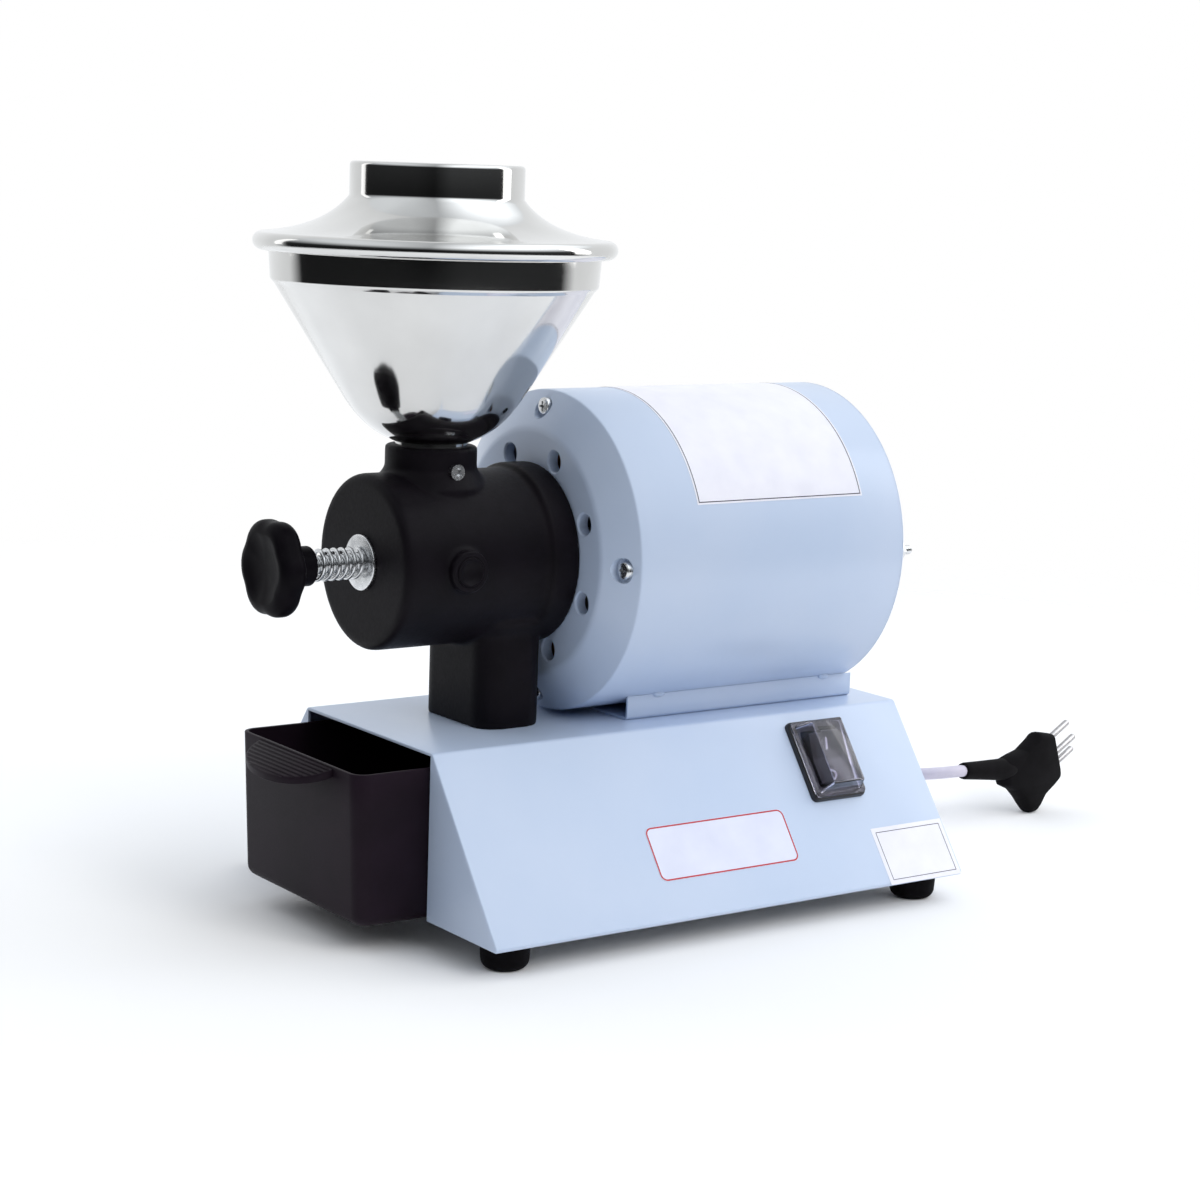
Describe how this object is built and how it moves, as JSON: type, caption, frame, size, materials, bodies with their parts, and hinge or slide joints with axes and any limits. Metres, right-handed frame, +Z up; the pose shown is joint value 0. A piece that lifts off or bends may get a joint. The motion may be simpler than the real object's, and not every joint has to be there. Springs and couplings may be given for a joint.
{
  "type": "electric coffee grinder",
  "caption": "Electric coffee grinder: spun hopper and lid over a cast mill on a motor's nose, fineness knob with spring, sheet base with switch, catch drawer, and mains cord.",
  "frame": {"origin": "on the table under the middle of the grinder, without its cord", "axes": "+Z up, +X towards the side with the switch, -Y towards the knob and the drawer front, +Y towards the cord"},
  "size_m": [0.2537, 0.5833, 0.383],
  "materials": {
    "pale_paint": "glossy pale blue-white paint on steel",
    "zinc_sheet": "galvanised sheet",
    "rubber": "matte black rubber",
    "zinc": "bright zinc plate",
    "switch_plastic": "black moulded plastic",
    "clear_plastic": "clear moulded plastic",
    "terminal_brass": "tinned brass blades",
    "capacitor_case": "moulded plastic can",
    "lamination": "stacked steel sheets",
    "copper": "varnished copper wire",
    "steel": "machined steel",
    "fan_plastic": "moulded plastic",
    "mill_black": "satin black coat over a casting",
    "hopper_metal": "polished spun aluminium",
    "knob_plastic": "satin black plastic",
    "drawer_plastic": "black moulded plastic",
    "cord_sheath": "pale round mains cord",
    "tie_plastic": "black strap",
    "pin_metal": "nickel plate"
  },
  "bodies": {
    "base": {"base_shell": "pale_paint", "bottom_plate": "zinc_sheet", "drawer_guide_left": "zinc_sheet", "drawer_guide_right": "zinc_sheet", "foot_front_left": "rubber", "foot_front_right": "rubber", "foot_rear_left": "rubber", "foot_rear_right": "rubber", "foot_screws": "zinc", "switch_frame": "switch_plastic", "switch_cover": "clear_plastic", "switch_terminals": "terminal_brass", "start_capacitor": "capacitor_case", "capacitor_clamp": "zinc_sheet", "cord_gland": "rubber", "motor_foot": "pale_paint", "motor_foot_bolts": "zinc", "motor_shell": "pale_paint", "front_bell": "pale_paint", "rear_bell": "pale_paint", "tie_rods": "zinc", "stator_core": "lamination", "stator_windings": "copper", "front_bearing": "steel", "rear_bearing": "steel", "mill_body": "mill_black", "mill_screws": "zinc", "hopper": "hopper_metal", "hopper_screw": "zinc", "side_plug": "mill_black", "adjusting_spring": "zinc", "spring_washer": "zinc", "supply_cord": "cord_sheath", "cord_coil": "cord_sheath", "cord_tie": "tie_plastic", "plug_lead": "cord_sheath", "plug_body": "rubber", "plug_pins": "pin_metal"},
    "rotor": {"motor_shaft": "steel", "rotor_core": "lamination", "cooling_fan": "fan_plastic", "feed_screw": "steel", "rotating_burr": "steel"},
    "burr_carrier": {"burr_carrier": "steel", "fixed_burr": "steel"},
    "adjuster": {"adjusting_screw": "zinc", "adjusting_knob": "knob_plastic"},
    "rocker": {"switch_rocker": "switch_plastic"},
    "lid": {"hopper_lid": "hopper_metal"},
    "drawer": {"drawer": "drawer_plastic"}
  },
  "joints": [
    {"name": "motor_spin", "type": "hinge", "parent": "base", "child": "rotor", "pos_m": [0, 0.061, 0.185], "axis": [0, 1, 0], "continuous": true},
    {"name": "burr_feed", "type": "slide", "parent": "base", "child": "burr_carrier", "axis": [0, 1, 0], "range_m": [-0.0015, 0.0015], "deforming": ["adjusting_spring"]},
    {"name": "adjust_turn", "type": "hinge", "parent": "burr_carrier", "child": "adjuster", "pos_m": [0, -0.149, 0.185], "axis": [0, 1, 0], "range_deg": [-360, 360]},
    {"name": "rocker_tip", "type": "hinge", "parent": "base", "child": "rocker", "pos_m": [0.07986, 0.117, 0.0749], "axis": [0, 1, 0], "range_deg": [-16, 0]},
    {"name": "lid_lift", "type": "slide", "parent": "base", "child": "lid", "axis": [0, 0, 1], "range_m": [0, 0.06]},
    {"name": "drawer_slide", "type": "slide", "parent": "base", "child": "drawer", "axis": [0, -1, 0], "range_m": [-0.04, 0.08]}
  ],
  "couplings": [
    {"joint": "adjust_turn", "follows": "burr_feed", "rad_per_m": 4188.8}
  ]
}
